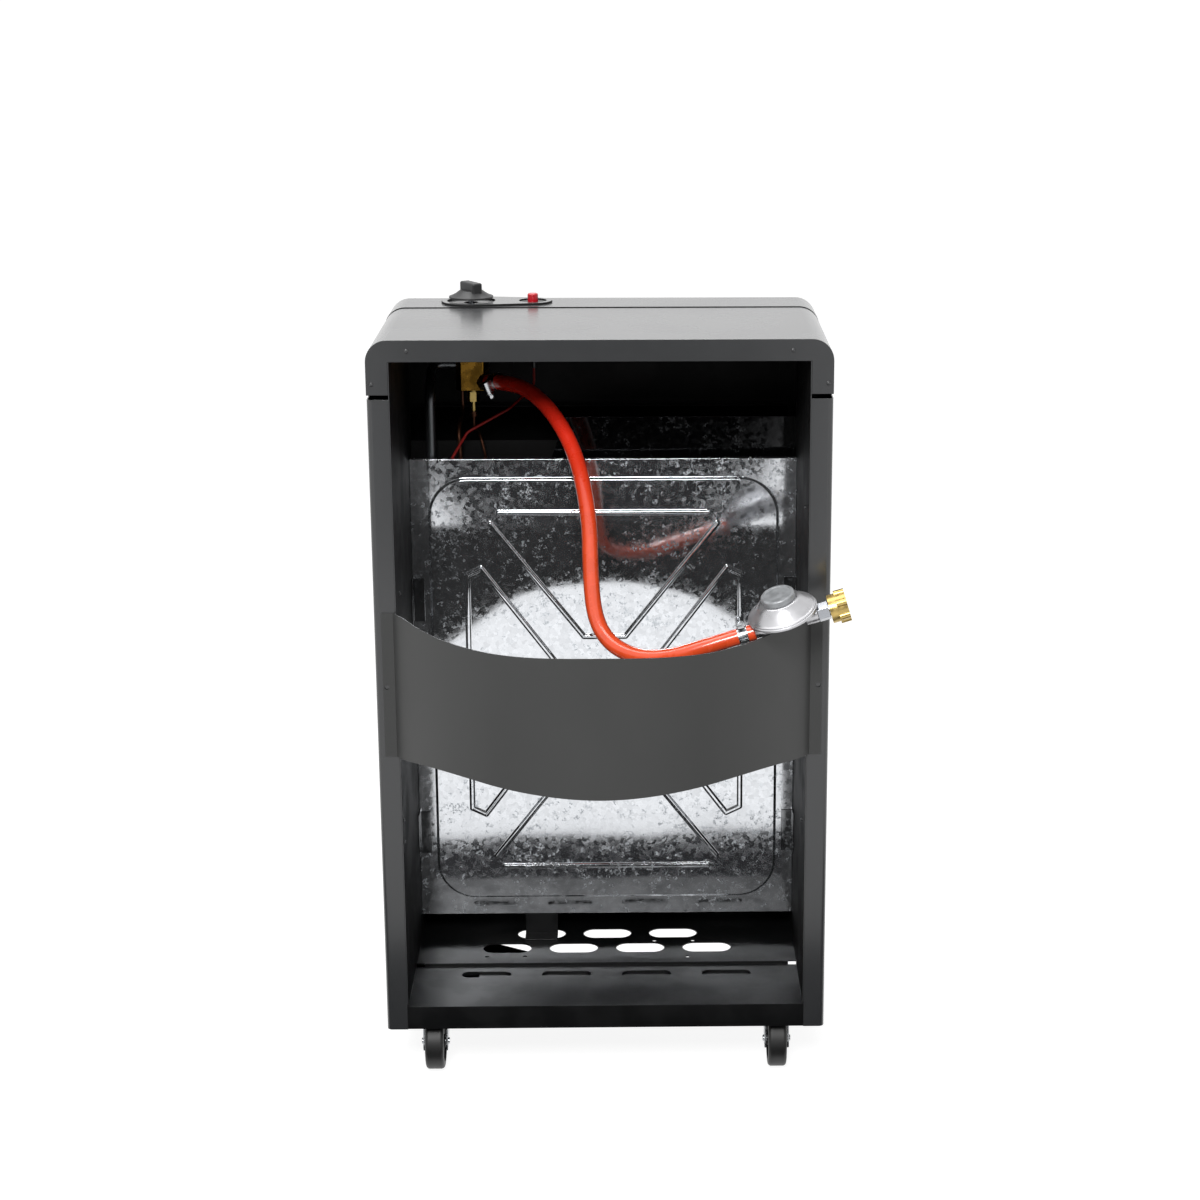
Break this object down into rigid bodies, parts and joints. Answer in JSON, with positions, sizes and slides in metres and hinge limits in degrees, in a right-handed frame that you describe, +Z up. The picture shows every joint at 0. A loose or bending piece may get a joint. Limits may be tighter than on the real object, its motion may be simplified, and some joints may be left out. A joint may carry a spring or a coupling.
{
  "type": "portable gas cabinet heater",
  "caption": "Upright sheet-metal gas cabinet heater on castors, seen open at the rear, with a radiant burner, bottle band, hose, regulator, knob and igniter.",
  "frame": {"origin": "middle of the cabinet's footprint, guard to band, at floor level under the castor wheels", "axes": "+Z up; -Y is the radiant front with the guard; +Y is the open rear with the band; +X is the side of the knob and gas valve"},
  "size_m": [0.4355, 0.411, 0.7405],
  "materials": {
    "cabinet_paint": "satin powder coat",
    "base_paint": "semi-gloss enamel",
    "guard_wire": "bright plated wire",
    "galvanised_sheet": "spangled zinc",
    "aluminised_sheet": "smooth bright sheet",
    "burner_casing": "heat-resistant matt",
    "plaque_ceramic": "matt",
    "pipe_steel": "satin",
    "brass_fittings": "machined",
    "copper_line": "drawn copper",
    "zinc_hardware": "bright zinc plate",
    "electrode_ceramic": "glazed",
    "lead_insulation": "smooth",
    "spindle_steel": "machined",
    "knob_plastic": "fine texture",
    "igniter_plastic": "satin",
    "button_plastic": "gloss",
    "escutcheon_plastic": "satin with a dark raised edge",
    "hose_rubber": "satin",
    "regulator_casting": "die cast, silver lacquer",
    "regulator_cap": "moulded",
    "wheel_plastic": "moulded"
  },
  "bodies": {
    "cabinet": {"hood": "cabinet_paint", "control_panel": "cabinet_paint", "side_panel_left": "cabinet_paint", "side_panel_right": "cabinet_paint", "liner_left": "cabinet_paint", "liner_right": "cabinet_paint", "base_tray": "base_paint", "front_panel": "cabinet_paint", "guard_grille": "guard_wire", "heat_shield": "galvanised_sheet", "shield_brackets": "galvanised_sheet", "shield_foot": "base_paint", "retaining_band": "cabinet_paint", "cabinet_screws": "zinc_hardware", "reflector_panels": "aluminised_sheet", "burner_back_plate": "aluminised_sheet", "deflector_plate": "aluminised_sheet", "burner_head_left": "burner_casing", "burner_head_centre": "burner_casing", "burner_head_right": "burner_casing", "ceramic_plaque_left": "plaque_ceramic", "ceramic_plaque_centre": "plaque_ceramic", "ceramic_plaque_right": "plaque_ceramic", "gas_manifold": "pipe_steel", "injectors": "brass_fittings", "feed_pipe": "pipe_steel", "thermocouple": "copper_line", "pilot_pipe": "copper_line", "pilot_burner": "zinc_hardware", "spark_electrode": "electrode_ceramic", "ignition_lead": "lead_insulation", "gas_valve": "brass_fittings", "magnet_unit": "brass_fittings", "valve_bracket": "zinc_hardware", "igniter_body": "igniter_plastic", "igniter_nut": "igniter_plastic", "escutcheon": "escutcheon_plastic", "hose_tail": "brass_fittings", "hose_clip_upper": "zinc_hardware", "gas_hose": "hose_rubber", "hose_clip_lower": "zinc_hardware", "regulator_body": "regulator_casting", "regulator_cap": "regulator_cap", "regulator_stem": "spindle_steel", "castor_plates": "zinc_hardware", "castor_bolts": "zinc_hardware"},
    "valve_plug": {"valve_plug": "brass_fittings"},
    "knob": {"control_knob": "knob_plastic", "valve_spindle": "spindle_steel"},
    "igniter_button": {"igniter_button": "button_plastic"},
    "handwheel": {"regulator_handwheel": "brass_fittings"},
    "fork_front_left": {"castor_fork_front_left": "zinc_hardware"},
    "wheel_front_left": {"castor_wheel_front_left": "wheel_plastic"},
    "fork_front_right": {"castor_fork_front_right": "zinc_hardware"},
    "wheel_front_right": {"castor_wheel_front_right": "wheel_plastic"},
    "fork_rear_left": {"castor_fork_rear_left": "zinc_hardware"},
    "wheel_rear_left": {"castor_wheel_rear_left": "wheel_plastic"},
    "fork_rear_right": {"castor_fork_rear_right": "zinc_hardware"},
    "wheel_rear_right": {"castor_wheel_rear_right": "wheel_plastic"}
  },
  "joints": [
    {"name": "knob_turn", "type": "hinge", "parent": "cabinet", "child": "valve_plug", "pos_m": [0.128, -0.15, 0.667], "axis": [0, 0, 1], "range_deg": [0, 240]},
    {"name": "knob_push", "type": "slide", "parent": "valve_plug", "child": "knob", "axis": [0, 0, -1], "range_m": [0, 0.0045], "stiffness_N_per_m": 600, "springref_m": -0.002},
    {"name": "igniter_push", "type": "slide", "parent": "cabinet", "child": "igniter_button", "axis": [0, 0, -1], "range_m": [0, 0.006], "stiffness_N_per_m": 800, "springref_m": -0.002},
    {"name": "handwheel_spin", "type": "hinge", "parent": "cabinet", "child": "handwheel", "pos_m": [-0.138, 0.122, 0.463], "axis": [-0.9566, 0, 0.2913], "continuous": true},
    {"name": "castor_swivel_front_left", "type": "hinge", "parent": "cabinet", "child": "fork_front_left", "pos_m": [0.166, -0.145, 0.06], "axis": [0, 0, 1], "continuous": true},
    {"name": "wheel_roll_front_left", "type": "hinge", "parent": "fork_front_left", "child": "wheel_front_left", "pos_m": [0.166, -0.123, 0.027], "axis": [1, 0, 0], "continuous": true},
    {"name": "castor_swivel_front_right", "type": "hinge", "parent": "cabinet", "child": "fork_front_right", "pos_m": [-0.166, -0.145, 0.06], "axis": [0, 0, 1], "continuous": true},
    {"name": "wheel_roll_front_right", "type": "hinge", "parent": "fork_front_right", "child": "wheel_front_right", "pos_m": [-0.166, -0.123, 0.027], "axis": [1, 0, 0], "continuous": true},
    {"name": "castor_swivel_rear_left", "type": "hinge", "parent": "cabinet", "child": "fork_rear_left", "pos_m": [0.166, 0.02, 0.06], "axis": [0, 0, 1], "continuous": true},
    {"name": "wheel_roll_rear_left", "type": "hinge", "parent": "fork_rear_left", "child": "wheel_rear_left", "pos_m": [0.166, 0.042, 0.027], "axis": [1, 0, 0], "continuous": true},
    {"name": "castor_swivel_rear_right", "type": "hinge", "parent": "cabinet", "child": "fork_rear_right", "pos_m": [-0.166, 0.02, 0.06], "axis": [0, 0, 1], "continuous": true},
    {"name": "wheel_roll_rear_right", "type": "hinge", "parent": "fork_rear_right", "child": "wheel_rear_right", "pos_m": [-0.166, 0.042, 0.027], "axis": [1, 0, 0], "continuous": true}
  ]
}
